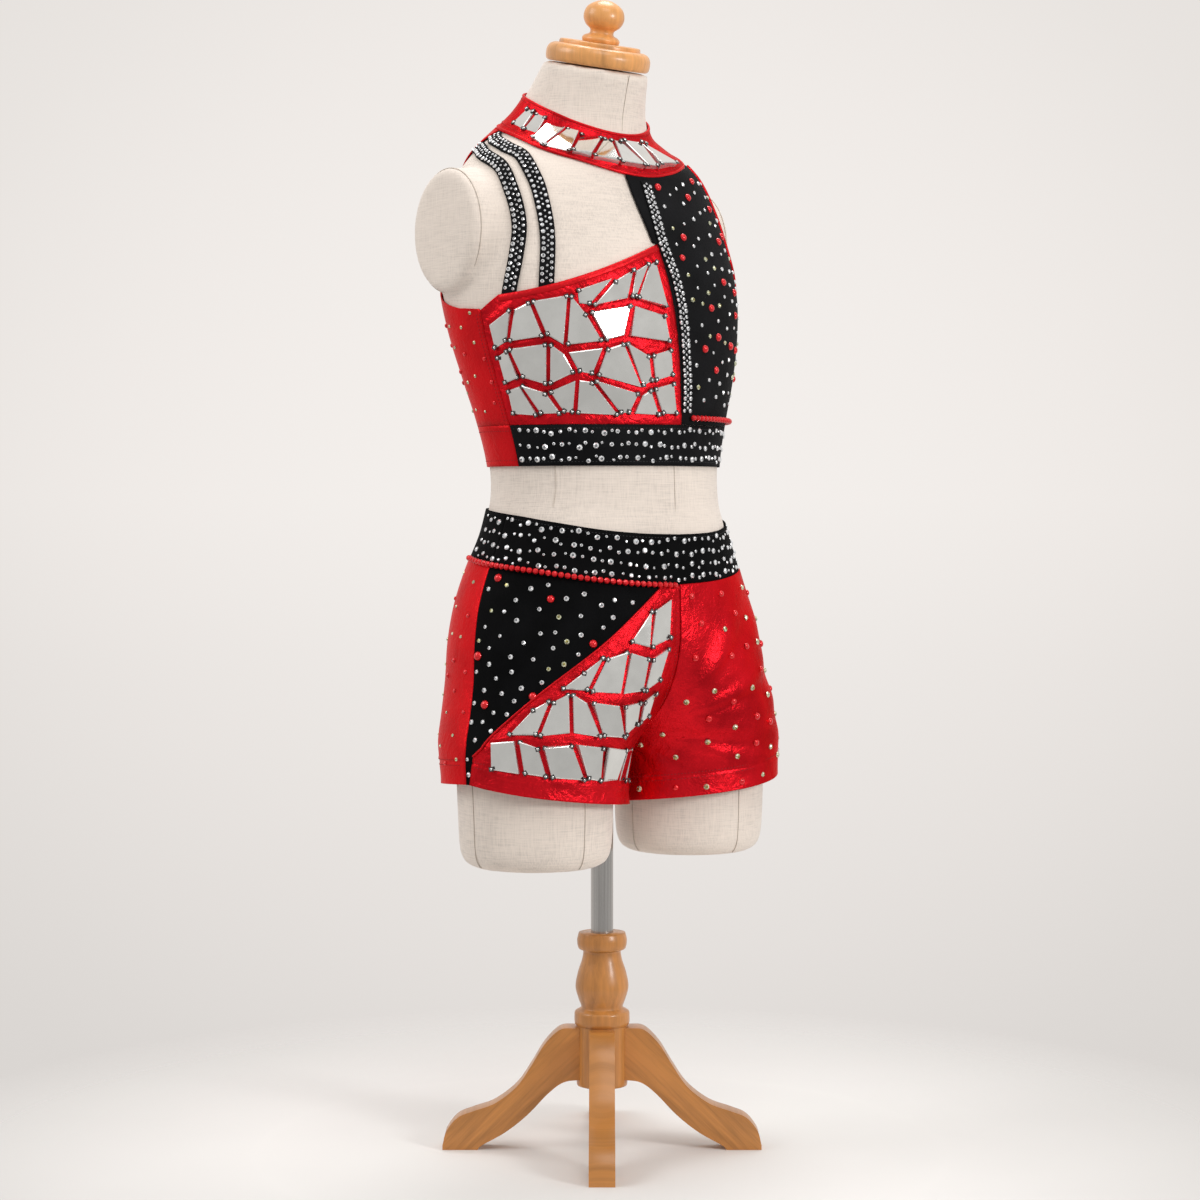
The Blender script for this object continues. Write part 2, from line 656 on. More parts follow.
def foil_material(name, tint=(0.66, 0.01, 0.018), wrinkle=0.5, metal=0.78, variety=0.25):
    """Metallic stretch cloth with fine puckers."""
    constants = {"Metallic": metal, "Specular IOR Level": 0.2, "Specular Tint": (1, 0.32, 0.3, 1)}
    look, tree, shader, where = new_look(name, constants)
    crease = noise(tree, where, 62, 5, 0.6, 0.9)
    fine = noise(tree, where, 420, 3, 0.55, 0.2)
    grain = noise(tree, where, 1500, 2, 0.5)
    patch = noise(tree, where, 26, 4, 0.6)
    paint(tree, shader, patch, (0.34, 0.5, 0.68), shades(tint, 1 - variety, 1, 1 + variety * 0.7))
    roughen(tree, shader, fine, 0.28, 0.42)
    first = bump(tree, shader, grain, 0.25, 0.0003)
    second = bump(tree, shader, fine, 0.4, 0.0008, first)
    bump(tree, shader, crease, wrinkle, 0.006, second)
    return look


def black_material(name, tint=(0.0035, 0.0035, 0.004), shine=0.1):
    look, tree, shader, where = new_look(name, {"Specular IOR Level": shine})
    knit = noise(tree, stretched(tree, where, (1100, 1100, 700)), 1.0, 2)
    paint(tree, shader, noise(tree, where, 30, 3), (0.35, 0.68), shades(tint, 1, 2.1))
    roughen(tree, shader, knit, 0.86, 0.68)
    bump(tree, shader, knit, 0.3, 0.0004)
    return look


def mirror_material(name):
    look, tree, shader, where = new_look(name, {"Metallic": 1.0})
    haze = noise(tree, where, 55, 3)
    paint(tree, shader, haze, (0.35, 0.65), [(0.9, 0.895, 0.86), (0.98, 0.975, 0.94)])
    roughen(tree, shader, haze, 0.05, 0.1)
    return look


def stone_material(name, tint, metal, rough, variety=0.15, coat=0.8):
    constants = {"Metallic": metal, "Coat Weight": coat, "Coat Roughness": 0.05}
    look, tree, shader, where = new_look(name, constants)
    vary = noise(tree, where, 700, 2)
    paint(tree, shader, vary, (0.38, 0.62), shades(tint, 1 - 2.5 * variety, 1 + variety))
    roughen(tree, shader, vary, rough, rough * 1.6)
    return look


def thread_material(name, tint):
    look, tree, shader, where = new_look(name, {"Roughness": 0.75})
    paint(tree, shader, noise(tree, where, 2400, 2), (0.35, 0.65), shades(tint, 1, 1.8))
    return look


def steel_material(name):
    look, tree, shader, where = new_look(name, {"Metallic": 1.0})
    brush = noise(tree, stretched(tree, where, (700, 700, 6)), 1.0, 3)
    paint(tree, shader, brush, (0.3, 0.7), [(0.46, 0.44, 0.42), (0.6, 0.58, 0.56)])
    roughen(tree, shader, brush, 0.16, 0.26)
    bump(tree, shader, brush, 0.08, 0.0002)
    return look


# the scene

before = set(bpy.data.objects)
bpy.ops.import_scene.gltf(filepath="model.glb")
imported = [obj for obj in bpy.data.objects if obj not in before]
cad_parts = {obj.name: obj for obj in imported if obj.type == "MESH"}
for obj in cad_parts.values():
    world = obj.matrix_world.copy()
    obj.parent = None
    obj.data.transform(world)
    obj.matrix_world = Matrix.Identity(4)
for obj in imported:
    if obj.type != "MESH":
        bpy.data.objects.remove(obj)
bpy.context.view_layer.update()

linen = linen_material("linen")
linen_seam = linen_material("linen_seam", (0.6, 0.52, 0.44))
wood = wood_material("wood_upright")
wood_cap = wood_material("wood_cap", (0.7, 0.32, 0.095))
wood_leg = wood_material("wood_leg", (0.47, 0.19, 0.04), legs=True)
steel = steel_material("brushed_steel")
foil = foil_material("red_foil")
foil_left = foil_material("red_foil_folded", wrinkle=0.28, metal=0.86)
satin = foil_material("red_satin", (0.68, 0.009, 0.014), wrinkle=0.2, metal=0.55, variety=0.13)
binding = foil_material("red_binding", (0.66, 0.012, 0.018), wrinkle=0.2, metal=0.5, variety=0.12)
black = black_material("black_stretch")
black_low = black_material("black_stretch_shorts", (0.0018, 0.0018, 0.002), 0.05)
mirror = mirror_material("mirror")
mirror_edge = stone_material("mirror_edge", (0.74, 0.74, 0.72), 0.7, 0.16, 0.08)
clear = stone_material("clear_crystal", (0.93, 0.94, 0.96), 0.35, 0.1, 0.08)
stone_centre = stone_material("crystal_centre", (0.36, 0.37, 0.39), 0.85, 0.14, 0.2)
tint_stone = stone_material("green_gold_crystal", (0.72, 0.74, 0.5), 0.4, 0.1, 0.25)
tint_centre = stone_material("green_gold_centre", (0.5, 0.42, 0.1), 0.8, 0.14, 0.3)
dark_stone = stone_material("dark_bead", (0.03, 0.028, 0.028), 0.3, 0.35)
silver = stone_material("silver_bead", (0.8, 0.8, 0.78), 0.9, 0.18)
red_dome = stone_material("red_dome", (0.8, 0.008, 0.014), 0.3, 0.16, 0.1, 0.3)
red_bead = stone_material("red_bead", (0.8, 0.008, 0.014), 0.3, 0.18, 0.1, 0.25)
thread_red = thread_material("red_thread", (0.24, 0.004, 0.008))
thread_black = thread_material("black_thread", (0.03, 0.03, 0.032))


def finish_piece(piece, body, stands_for=()):
    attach(piece, body)
    if stands_for:
        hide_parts(*stands_for)
    return piece


# the form

def loft_points(rings):
    rings = [np.asarray(r) for r in rings]
    count = len(rings[0])
    points = np.concatenate(rings + [rings[0].mean(0)[None], rings[-1].mean(0)[None]])
    faces = grid_faces(count, len(rings) - 1, wrap=True).tolist()
    low, high = len(rings) * count, len(rings) * count + 1
    last = (len(rings) - 1) * count
    for k in range(count):
        m = (k + 1) % count
        faces.append([low, m, k])
        faces.append([high, last + k, last + m])
    return points, faces


def thigh_surface(side):
    def surface(turn, h, off=0.0):
        row = at_height(THIGHS, h)
        phi = np.asarray(turn) * 2 * np.pi
        x = side * (row[..., 1] + (row[..., 2] + off) * np.sin(phi))
        y = row[..., 5] - (row[..., 3] + off) * np.cos(phi)
        return np.stack([x, y, np.asarray(h, float) + 0 * phi], -1)

    surface.step = HIP_STEP
    return surface


def shoulder_ring(side, x, phi, off=0.0):
    _, depth, height, y, h = at_height(SHOULDER, [x])[0]
    depth, height = depth + off, height + off
    return np.stack([0 * phi + side * x, y + depth * np.cos(phi), h + height * np.sin(phi)], -1)


def form_mesh():
    """Trunk, thighs and shoulder stubs as closed bodies that run into each other."""
    turns = np.linspace(-1, 1, 96, endpoint=False)
    hips = [around_hips(turns, np.full_like(turns, h), -1.5 if h < 480 else 0.0) for h in range(376, 556, 6)]
    neck = [on_trunk(turns * 180, np.full_like(turns, h), 0.0) for h in np.arange(560, 946.5, 4.94)]
    parts = [loft_points(hips + neck)]
    around = np.linspace(0, 1, 64, endpoint=False)
    thigh_heights = (256, 256.6, 258, 260, 263, 267, 272, 280, *range(290, 400, 10))
    shoulder_places = (84, 100, 120, 130, 136, 140, 142.5, 144, 145, 145.5)
    for side in (-1, 1):
        thigh = thigh_surface(side)
        parts.append(loft_points([thigh(around, h) for h in thigh_heights]))
        parts.append(loft_points([shoulder_ring(side, x, around * 2 * np.pi) for x in shoulder_places]))
    return join_parts(parts)


def join_parts(parts):
    """One list of points and one of faces from several."""
    points, faces, base = [], [], 0
    for p, f in parts:
        points.append(p)
        faces += [[i + base for i in face] for face in f]
        base += len(p)
    return np.concatenate(points), faces


def apply_modifiers(piece):
    bpy.context.view_layer.update()
    graph = bpy.context.evaluated_depsgraph_get()
    mesh = bpy.data.meshes.new_from_object(piece.evaluated_get(graph))
    old = piece.data
    piece.modifiers.clear()
    piece.data = mesh
    mesh.name = piece.name
    bpy.data.meshes.remove(old)


def recalculate_normals(piece):
    bm = bmesh.new()
    bm.from_mesh(piece.data)
    bmesh.ops.recalc_face_normals(bm, faces=bm.faces)
    bm.to_mesh(piece.data)
    bm.free()


points, faces = form_mesh()
form = new_object("form_skin", points, faces, linen)
recalculate_normals(form)
shape = form.modifiers.new("remesh", "REMESH")
shape.mode = "VOXEL"
shape.voxel_size = 0.0042
shape.use_smooth_shade = True
even = form.modifiers.new("even", "SMOOTH")
even.factor = 0.5
even.iterations = 4
apply_modifiers(form)
finish_piece(form, "form", ["form_body"])

# sewn seams of the trunk: angle and height of points along each
TRUNK_SEAMS = [
    [(0, 903), (0, 925), (0, 944)],
    [(0, 842), (-0.2, 800), (0, 770), (0, 745)],
    [(180, 912), (180, 930), (180, 945)],
    [(0, 536), (0, 565), (0, 596)],
    [(-62, 536), (-61, 565), (-60, 596)],
    [(62, 536), (61, 565), (60, 596)],
]
SHOULDER_RIM = 139.5


def seam_line(table, surface):
    points, _, normals, sides, _ = line_frames(table, surface, 0.25, 60)
    return points, normals, sides, 0.8


def seam_strip(points, normals, sides, width):
    """Narrow strip of triangular section."""
    half, sunk = sides * width / 2, normals * 0.4
    edges = [points - half - sunk, points + normals * 0.25, points + half - sunk]
    corners = np.stack(edges, 1).reshape(-1, 3)
    last = len(corners) - 1
    faces = grid_faces(3, len(points) - 1, wrap=True).tolist()
    return corners, faces + [[2, 1, 0], [last - 2, last - 1, last]]


seams = [seam_line(table, on_trunk) for table in TRUNK_SEAMS]
for side in (-1, 1):
    for turn in (0.0, 0.25, 0.5, 0.75):
        seams.append(seam_line([(turn, h) for h in (258, 280, 330, 345)], thigh_surface(side)))
ring = np.linspace(0, 2 * np.pi, 81)
for side in (-1, 1):
    normals = np.stack([0 * ring, np.cos(ring), np.sin(ring)], -1)
    seams.append((shoulder_ring(side, SHOULDER_RIM, ring, 0.2), normals, np.tile([1.0, 0, 0], (81, 1)), 1.0))
points, faces = join_parts([seam_strip(*seam) for seam in seams])
finish_piece(new_object("form_seams", points, faces, linen_seam), "form")


# wood and steel


def turned(name, outline, sides, material, steps=6):
    p = np.asarray(outline, float)
    profile = smooth_line(p, (len(p) - 1) * steps + 1)
    profile[:, 0] = np.maximum(profile[:, 0], 0.3)
    a = np.linspace(0, 2 * np.pi, sides, endpoint=False)
    rings = [np.stack([r * np.cos(a), r * np.sin(a), np.full(sides, z)], -1) for r, z in profile]
    piece = new_object(name, *loft_points(rings), material)
    recalculate_normals(piece)
    return piece


def on_cap(piece):
    """Tilts a turned piece with the top of the neck."""
    neck_top = TRUNK[-1][0]
    seat = (on_trunk(0.0, neck_top, 0.0) + on_trunk(180.0, neck_top, 0.0)) / 2
    piece.rotation_euler = (math.radians(CAP_TILT), 0, 0)
    piece.location = Vector(seat * MM)
    bpy.context.view_layer.update()
    piece.data.transform(piece.matrix_world)
    piece.rotation_euler = (0, 0, 0)
    piece.location = (0, 0, 0)
    return piece


finish_piece(on_cap(turned("cap_wood", CAP, 96, wood_cap)), "form", ["neck_cap"])
finish_piece(on_cap(turned("finial_wood", FINIAL, 72, wood_cap)), "form", ["neck_finial"])
finish_piece(turned("post_wood", POST, 96, wood), "stand", ["stand_post"])

profile = np.asarray(LEG, float)
over, under = smooth_line(profile[:LEG_FOOT], 61), smooth_line(profile[LEG_FOOT + 1 :], 41)
outline = np.concatenate([over, profile[LEG_FOOT : LEG_FOOT + 1], under])
outline[0, 0] = outline[-1, 0] = LEG_SEAT
count = len(outline)
leg_sides = [np.full(count, x) for x in (-LEG_HALF_THICK, LEG_HALF_THICK)]
leg_points = np.concatenate([np.stack([x, -outline[:, 0], outline[:, 1]], -1) for x in leg_sides])
leg_faces = [[i, (i + 1) % count, (i + 1) % count + count, i + count] for i in range(count)]
leg_faces += [list(range(count))[::-1], [i + count for i in range(count)]]
for k in range(4):
    a = math.radians(k * 90 - LEG_YAW)
    turn = np.array([[math.cos(a), math.sin(a), 0], [-math.sin(a), math.cos(a), 0], [0, 0, 1]])
    leg = new_object(f"leg_wood_{k + 1}", leg_points, leg_faces, wood_leg)
    turned_points = np.array([v.co for v in leg.data.vertices]) @ turn
    leg.data.vertices.foreach_set("co", turned_points.ravel())
    recalculate_normals(leg)
    soft = leg.modifiers.new("rounded", "BEVEL")
    soft.width = 4.2 * MM
    soft.segments = 4
    soft.limit_method = "ANGLE"
    soft.angle_limit = math.radians(50)
    apply_modifiers(leg)
    leg.data.shade_smooth()
    finish_piece(leg, "stand", [f"stand_leg_{k + 1}"])

pole = turned("pole_steel", POLE, 64, steel, 1)
pole.modifiers.new("edges", "EDGE_SPLIT")
apply_modifiers(pole)
finish_piece(pole, "pole", ["pole"])


# cloth


def dress(piece, stands_for, tiles=None):
    """Sheet in place of its solid, cut from its widest row by its tallest rise."""
    finish_piece(piece, "form", [stands_for])
    with_pieces = build_tiles(*tiles) if tiles else ()


def tiles_between(strips):
    """Corner places of the mirror pieces, each between two neighbouring cuts."""
    for cuts in strips:
        for here, there in zip(cuts, cuts[1:]):
            yield np.array([here[:2], there[:2], there[2:], here[2:]])


def flat_tile(surface, places, off):
    """Corners of one flat mirror piece, its middle, and its normal."""
    u, h = places.mean(0)
    centre = surface(u, h, off)
    normal = normal_at(surface, u, h, off)
    away = surface(places[:, 0], places[:, 1], off) - centre
    away -= np.outer(away @ normal, normal)
    depth = (centre - surface(places[:, 0], places[:, 1], off)) @ normal
    away *= 1 - TILE_GAP / np.linalg.norm(away, axis=1, keepdims=True)
    if np.dot(np.cross(away[1] - away[0], away[2] - away[0]), normal) < 0:
        away, depth = away[::-1], depth[::-1]
    return centre + away, centre, normal, depth


def tile_relief(strips, surface, strength=1.5):
    """Cloth puffs up in the channels between the mirror pieces."""
    walls = []
    for places in tiles_between(strips):
        corners, centre, normal, _ = flat_tile(surface, places, OVER)
        walls.append((corners, unit(np.cross(np.roll(corners, -1, 0) - corners, normal)), centre))

    def relief(across, h):
        p = surface(across, h, OVER)
        best = np.full(across.shape, 9.0)
        for corners, outward, centre in walls:
            beyond = np.max([(p - c) @ o for c, o in zip(corners, outward)], axis=0)
            best = np.where(length_of(p - centre) < 60, np.minimum(best, beyond), best)
        puff = np.clip(best / 2.6, 0, 1) ** 0.7
        slant = np.sin(p[..., 1] * 0.5 - p[..., 2] * 0.4)
        wave = 0.7 + 0.3 * np.sin(p[..., 0] * 0.55 + p[..., 2] * 0.8) * slant
        return strength * puff * wave * np.clip((9 - best) / 4, 0.35, 1)

    return relief


def leg_folds(across, h):
    """Soft folds that fan out from the crotch to the hip."""
    aside = (across - 0.01) * FOLD_SPREAD
    rise = h - FOLD_ROOT
    turn = np.arctan2(rise, aside)
    far = np.hypot(rise, aside)
    wave = np.sin(turn * 12 + 0.9 * np.sin(far / 31)) * 0.6 + np.sin(turn * 21 + far / 60 + 1.7) * 0.35
    fade = np.clip((far - 20) / 34, 0, 1) * np.clip((190 - far) / 90, 0, 1)
    edges = np.clip((across - 0.012) / 0.05, 0, 1) * np.clip((0.45 - across) / 0.1, 0, 1)
    return 1.0 + 1.7 * wave * fade * edges * np.clip((502 - h) / 45, 0, 1) * np.clip((h - 322) / 26, 0.1, 1)


def creases(lines, per_unit):
    """Soft ridges and troughs; a line is its start and end, how wide it is and how high, in mm."""

    def relief(across, h):
        p = np.stack([across * per_unit, h], -1)
        lift = np.zeros(across.shape)
        for start, end, wide, high in lines:
            a, b = np.array(start) * (per_unit, 1), np.array(end) * (per_unit, 1)
            run = np.clip((p - a) @ (b - a) / ((b - a) @ (b - a)), 0, 1)
            aside = length_of(p - a - run[..., None] * (b - a))
            lift += high * np.exp(-((aside / wide) ** 2)) * (0.2 + 0.8 * np.sin(np.pi * run))
        return lift

    return relief


BACK_CREASES = [
    ((131, 742), (166, 700), 8, 1.0),
    ((146, 738), (176, 716), 5, -0.4),
    ((232, 740), (200, 694), 8, 1.1),
    ((221, 742), (192, 722), 5, -0.4),
    ((128, 655), (172, 661), 7, 0.8),
    ((150, 646), (205, 643), 9, 0.7),
    ((196, 664), (236, 656), 7, 0.8),
    ((150, 800), (172, 838), 7, 0.7),
    ((208, 806), (188, 846), 6, 0.6),
]
SEAT_CREASES = [
    ((0.97, 384), (0.76, 350), 8, 1.3),
    ((0.965, 398), (0.74, 374), 9, 1.1),
    ((0.95, 372), (0.84, 341), 5, -0.4),
    ((0.96, 416), (0.8, 402), 8, 0.8),
    ((0.95, 506), (0.8, 478), 8, 0.8),
    ((0.88, 512), (0.74, 492), 6, 0.6),
    ((0.72, 508), (0.69, 470), 6, 0.6),
]


def towards(corner, centre, distance):
    return corner + (centre - corner) * distance / np.linalg.norm(centre - corner)


def build_tiles(name, surface, strips):
    """Flat mirror pieces with a pale bevel, and small silver beads in dark prongs at their corners."""
    points, edge_faces, faces, spots, normals = [], [], [], [], []
    for places in tiles_between(strips):
        corners, centre, n, depth = flat_tile(surface, places, OVER + 0.5)
        tilted = unit(n + rng.normal(0, 0.05, 3))
        inner = [towards(c, centre, 1.2) for c in corners]
        base = len(points)
        for ring, lift in ((corners, None), (corners, 0.25), (inner, 0.7)):
            for c, below in zip(ring, depth):
                rise = -max(below, 0) - 1.3 if lift is None else lift
                points.append(c + n * rise + n * np.dot(c - centre, n - tilted))
        edge_faces += (grid_faces(4, 2, wrap=True)[[0, 4, 1, 5, 2, 6, 3, 7]] + base).tolist()
        faces.append((base + 8, base + 9, base + 10, base + 11))
        for c in corners:
            if rng.uniform() < 0.8:
                spots.append(towards(c, centre, 0.9) + n * 0.35)
                normals.append(n)
    piece = new_object(name, points, edge_faces + faces, mirror_edge, smooth=False)
    piece.data.materials.append(mirror)
    for f in piece.data.polygons[len(edge_faces) :]:
        f.material_index = 1
    finish_piece(piece, "form")
    spots, normals = np.array(spots), np.array(normals)
    bead, bead_faces = dome_shape(8, 3)
    frames = frames_from(normals)
    beads = join_solids(name + "_beads", bead, bead_faces, spots + normals * 0.55, frames, 2.7, silver, True)
    finish_piece(beads, "form")
    prong = [(x, y, z) for z in (0, 0.5) for x, y in ((-0.9, -0.9), (0.9, -0.9), (0.9, 0.9), (-0.9, 0.9))]
    box_faces = [(4, 5, 6, 7), (0, 1, 5, 4), (1, 2, 6, 5), (2, 3, 7, 6), (3, 0, 4, 7)]
    frames = frames_from(normals, rng.uniform(0, math.pi, len(spots)))
    prongs = join_solids(name + "_prongs", prong, box_faces, spots, frames, 2.1, dark_stone)
    finish_piece(prongs, "form")
    return [piece, beads, prongs]


def bead_rope(name, table, surface, stands_for, off=5.4, size=5.3, rings=6, around=8):
    line = smooth_line(table, 400)
    count = max(int(run_of(surface(line[:, 0], line[:, 1], off))[-1] / size), 2)
    points, _, normals, sides, along = line_frames(table, surface, off, count)
    a = np.pi * np.arange(rings + 1) / rings
    b = 2 * np.pi * np.arange(around) / around
    a, b = np.meshgrid(a, b, indexing="ij")
    bead = np.stack([-np.cos(a), np.sin(a) * np.cos(b), np.sin(a) * np.sin(b)], -1).reshape(-1, 3) / 2
    axes = np.stack([along, sides, normals], 1)
    faces = grid_faces(around, rings, wrap=True).tolist()
    piece = join_solids(name, bead, faces, points, axes, size * 0.98, red_bead)
    finish_piece(piece, "form", [stands_for])


def trunk_panel(name, table, grid, material, relief=None, off=SKIN_GAP):
    return panel_cloth(name, table, on_trunk, collar_edge, grid, material, relief, off)


front = trunk_panel("top_mirror_cloth", MIRROR_PANEL, (110, 110), foil, tile_relief(TOP_CUTS, on_trunk))
dress(front, "top_mirror_panel", ("top_mirrors", on_trunk, TOP_CUTS))
halter = trunk_panel("top_halter_cloth", HALTER_PANEL, (60, 100), black, off=BLACK_OFF)
dress(halter, "top_halter_panel")
back_relief = creases(BACK_CREASES, TURN_LENGTH)
back = trunk_panel("top_back_cloth", BACK_PANEL, (150, 150), satin, back_relief, BACK_OFF)
dress(back, "top_back_panel")


def ring_cloth(name, surface, ends, edges, grid, material, off=SKIN_GAP, wrap=False):
    """Band from one end to the other, between its lower and its upper edge."""
    columns, rows = grid
    u = np.linspace(*ends, columns + (not wrap), endpoint=not wrap)
    u, v = np.meshgrid(u, np.linspace(0, 1, rows + 1))
    low, high = edges
    return cloth_from(name, surface(u, low(u) * (1 - v) + high(u) * v, off), columns, rows, material, wrap)


def flat_band(value):
    return lambda u: np.full_like(u, value)


def edge_line(table, column, shift=0.0):
    return lambda u: at_height(table, u)[..., column] + shift


def waist_low(u):
    return at_height(WAIST, np.minimum(np.abs(u), 2 - np.abs(u)))[..., 2] + 0.2


def waist_high(u):
    return at_height(WAIST, np.minimum(np.abs(u), 2 - np.abs(u)))[..., 1]


collar_edges = (edge_line(COLLAR, 1, 0.2), edge_line(COLLAR, 2))
collar = ring_cloth("collar_cloth", on_trunk, (-180, 180), collar_edges, (180, 24), foil, wrap=True)
dress(collar, "top_collar", ("collar_mirrors", on_trunk, COLLAR_CUTS))

band_edges = (flat_band(BAND[0]), flat_band(BAND[1] - 0.3))
front_ends = (-SIDE_ANGLE + SEAM_OFF, SIDE_ANGLE - SEAM_OFF)
back_ends = (SIDE_ANGLE + SEAM_OFF, 360 - SIDE_ANGLE - SEAM_OFF)
band_front = ring_cloth("band_front_cloth", on_trunk, front_ends, band_edges, (120, 12), black, BLACK_OFF)
dress(band_front, "top_band_front")
band_back = ring_cloth("band_back_cloth", on_trunk, back_ends, band_edges, (140, 12), satin, BACK_OFF)
dress(band_back, "top_band_back")

waist_ends = {"front": (-SIDE_TURN, SIDE_TURN), "back": (SIDE_TURN + 0.001, 2 - SIDE_TURN - 0.001)}
for part, ends in waist_ends.items():
    name = f"waistband_{part}_cloth"
    waist = ring_cloth(name, around_hips, ends, (waist_low, waist_high), (140, 14), black_low, WAIST_OFF)
    dress(waist, f"shorts_waistband_{part}")



def hip_panel(name, table, surface, grid, material, relief=None, off=SKIN_GAP, hem=True):
    return panel_cloth(name, table, surface, waist_edge, grid, material, relief, off, hem)


right = on_hips(-1)
left = on_hips(1)
black_front = hip_panel(
    "shorts_black_cloth", BLACK_PANEL, right, (60, 90), black_low, off=BLACK_OFF, hem=False
)
dress(black_front, "shorts_black_panel")
relief = tile_relief(SHORTS_CUTS, right)
low_front = hip_panel("shorts_mirror_cloth", SHORTS_MIRROR_PANEL, right, (90, 120), foil, relief)
dress(low_front, "shorts_mirror_panel", ("shorts_mirrors", right, SHORTS_CUTS))
left_front = hip_panel("shorts_left_cloth", LEFT_FRONT_PANEL, left, (130, 160), foil_left, leg_folds)
dress(left_front, "shorts_front_left")
relief = creases(SEAT_CREASES, FOLD_SPREAD)
for surface, name in ((right, "shorts_back_right"), (left, "shorts_back_left")):
    seat = hip_panel(name + "_cloth", SHORTS_BACK_PANEL, surface, (100, 140), satin, relief, BACK_OFF)
    dress(seat, name)

# straps, bindings and trims: line, width, height off the form, thickness, crown, material, slot, solid
share = np.linspace(0, 0.985, 40)
neck_angle, neck_h = panel_places(MIRROR_PANEL, collar_edge, share, np.ones(40))
NECKLINE = np.stack([neck_angle, neck_h - 2.6], -1)
strap = (STRAP_WIDTH, 0.4, STRAP_THICK, 0.25, black, "black")
RIBBONS = {
    "strap_outer_cloth": (OUTER_STRAP, *strap, "top_strap_outer"),
    "strap_inner_cloth": (INNER_STRAP, *strap, "top_strap_inner"),
    "halter_trim_cloth": (HALTER_TRIM, 10.5, 2.5, 0.8, 0.25, black, "crystal", "top_halter_trim"),
    "armhole_piping_cloth": (ARMHOLE_PIPING, 3.4, 1.9, 1.6, 0.5, binding, "satin", "top_armhole_piping"),
    "neckline_binding_cloth": (NECKLINE, 5.6, 2.2, 1.2, 0.5, binding, "satin", "top_neckline_binding"),
}
for name, (line, width, off, thick, crown, material, slot_name, stands_for) in RIBBONS.items():
    piece = ribbon(name, line, on_trunk, width, off, thick, material, crown=crown)
    finish_piece(piece, "form", [stands_for])

bead_rope("top_rope_beads", TOP_ROPE, on_trunk, "top_bead_rope")
rope_line = [(turn, at_height(WAIST, [turn])[0, 2]) for turn in SHORTS_ROPE_TURNS]
bead_rope("shorts_rope_beads", rope_line, right, "shorts_bead_rope")


# stones


def strap_stones(name, table, off, rows, pitch, sizes):
    """Rows of stones along a strap; rows are their distances from its middle."""
    spots, outward, scales = [], [], []
    points, run, normals, sides, _ = line_frames(table, on_trunk, off, 400)
    for k, across in enumerate(rows):
        at = run[-1] - 1.4 - np.arange(0.5 * pitch * (k % 2), run[-1] - 3, pitch)
        at = at + rng.uniform(-0.1, 0.1, len(at)) * pitch
        for j in np.searchsorted(run, at):
            spots.append(points[j] + sides[j] * (across + rng.uniform(-0.35, 0.35)))
            outward.append(normals[j])
            scales.append(sizes[k % len(sizes)] * rng.uniform(0.8, 1.12))
    stone, faces = gem_shape()
    axes = frames_from(np.array(outward), rng.uniform(0, 3, len(spots)))
    piece = join_solids(name, stone, faces, spots, axes, scales, clear)
    shade_centres(piece, stone_centre, len(faces))
    finish_piece(piece, "form")


STRAP_ROWS = ((-3.7, 0.3, 3.8), 5.5, (3.6, 2.1, 3.0))
strap_stones("strap_outer_stones", OUTER_STRAP[:-1], 2.0, *STRAP_ROWS)
strap_stones("strap_inner_stones", INNER_STRAP[:-1], 2.0, *STRAP_ROWS)
strap_stones("halter_trim_stones", HALTER_TRIM, 3.5, (-3.3, 0.2, 3.4), 5.0, (3.6, 2.5, 3.9))


def band_rows(name, surface, ends, edges, rows, pitch, off):
    """Loose rows of stones of mixed size along a band."""
    places, sizes = [], []
    fine = np.linspace(*ends, 600)
    low, high = edges
    for k, share in enumerate(rows):
        h = low(fine) * (1 - share) + high(fine) * share
        run = run_of(surface(fine, h, off))
        at = np.arange(pitch * (0.4 + 0.3 * (k % 3)), run[-1] - 2, pitch)
        at = at + rng.uniform(-0.24, 0.24, len(at)) * pitch
        u = np.interp(at, run, fine)
        places.append(np.stack([u, np.interp(at, run, h) + rng.uniform(-2.3, 2.3, len(at))], -1))
        big = (np.arange(len(at)) + k) % 2 == 0
        large = rng.choice([4.0, 4.8, 5.2], len(at))
        small = rng.choice([2.4, 2.8, 3.3], len(at))
        sizes.append(np.where(big, large, small))
    places, sizes = np.concatenate(places), np.concatenate(sizes)
    stones = set_stones(name, surface, places, sizes, off, clear, centre=stone_centre)
    finish_piece(stones, "form")


band_edges = (flat_band(BAND[0]), flat_band(BAND[1]))
waist_rows = (0.13, 0.37, 0.62, 0.87)
band_rows("band_stones", on_trunk, (-78.5, 78.5), band_edges, (0.17, 0.5, 0.83), 7.2, 2.35)
band_rows("waistband_stones", around_hips, (-0.6, 0.6), (waist_low, waist_high), waist_rows, 8.0, 2.25)


def scatter(surface, places, off, spacing):
    """Keeps the places that lie at least the spacing apart."""
    p = surface(places[:, 0], places[:, 1], off)
    keep, kept = [], np.zeros((0, 3))
    for k in range(len(places)):
        if not len(kept) or ((kept - p[k]) ** 2).sum(1).min() > spacing**2:
            kept = np.vstack([kept, p[k]])
            keep.append(k)
    return places[keep]


def mixed_stones(name, surface, places, off, mixes):
    """Shares the places out; mixes are (material, centre, shape, sizes, share)."""
    ends = np.round(np.cumsum([0] + [mix[4] for mix in mixes]) * len(places)).astype(int)
    for i, (stone, centre, shape, size_range, _) in enumerate(mixes):
        part = places[ends[i] : ends[i + 1]]
        height = off(part[:, 0], part[:, 1]) if callable(off) else np.full(len(part), off)
        sizes = rng.uniform(*size_range, len(part))
        piece = set_stones(f"{name}_{i + 1}", surface, part, sizes, height, stone, shape, centre)
        finish_piece(piece, "form")


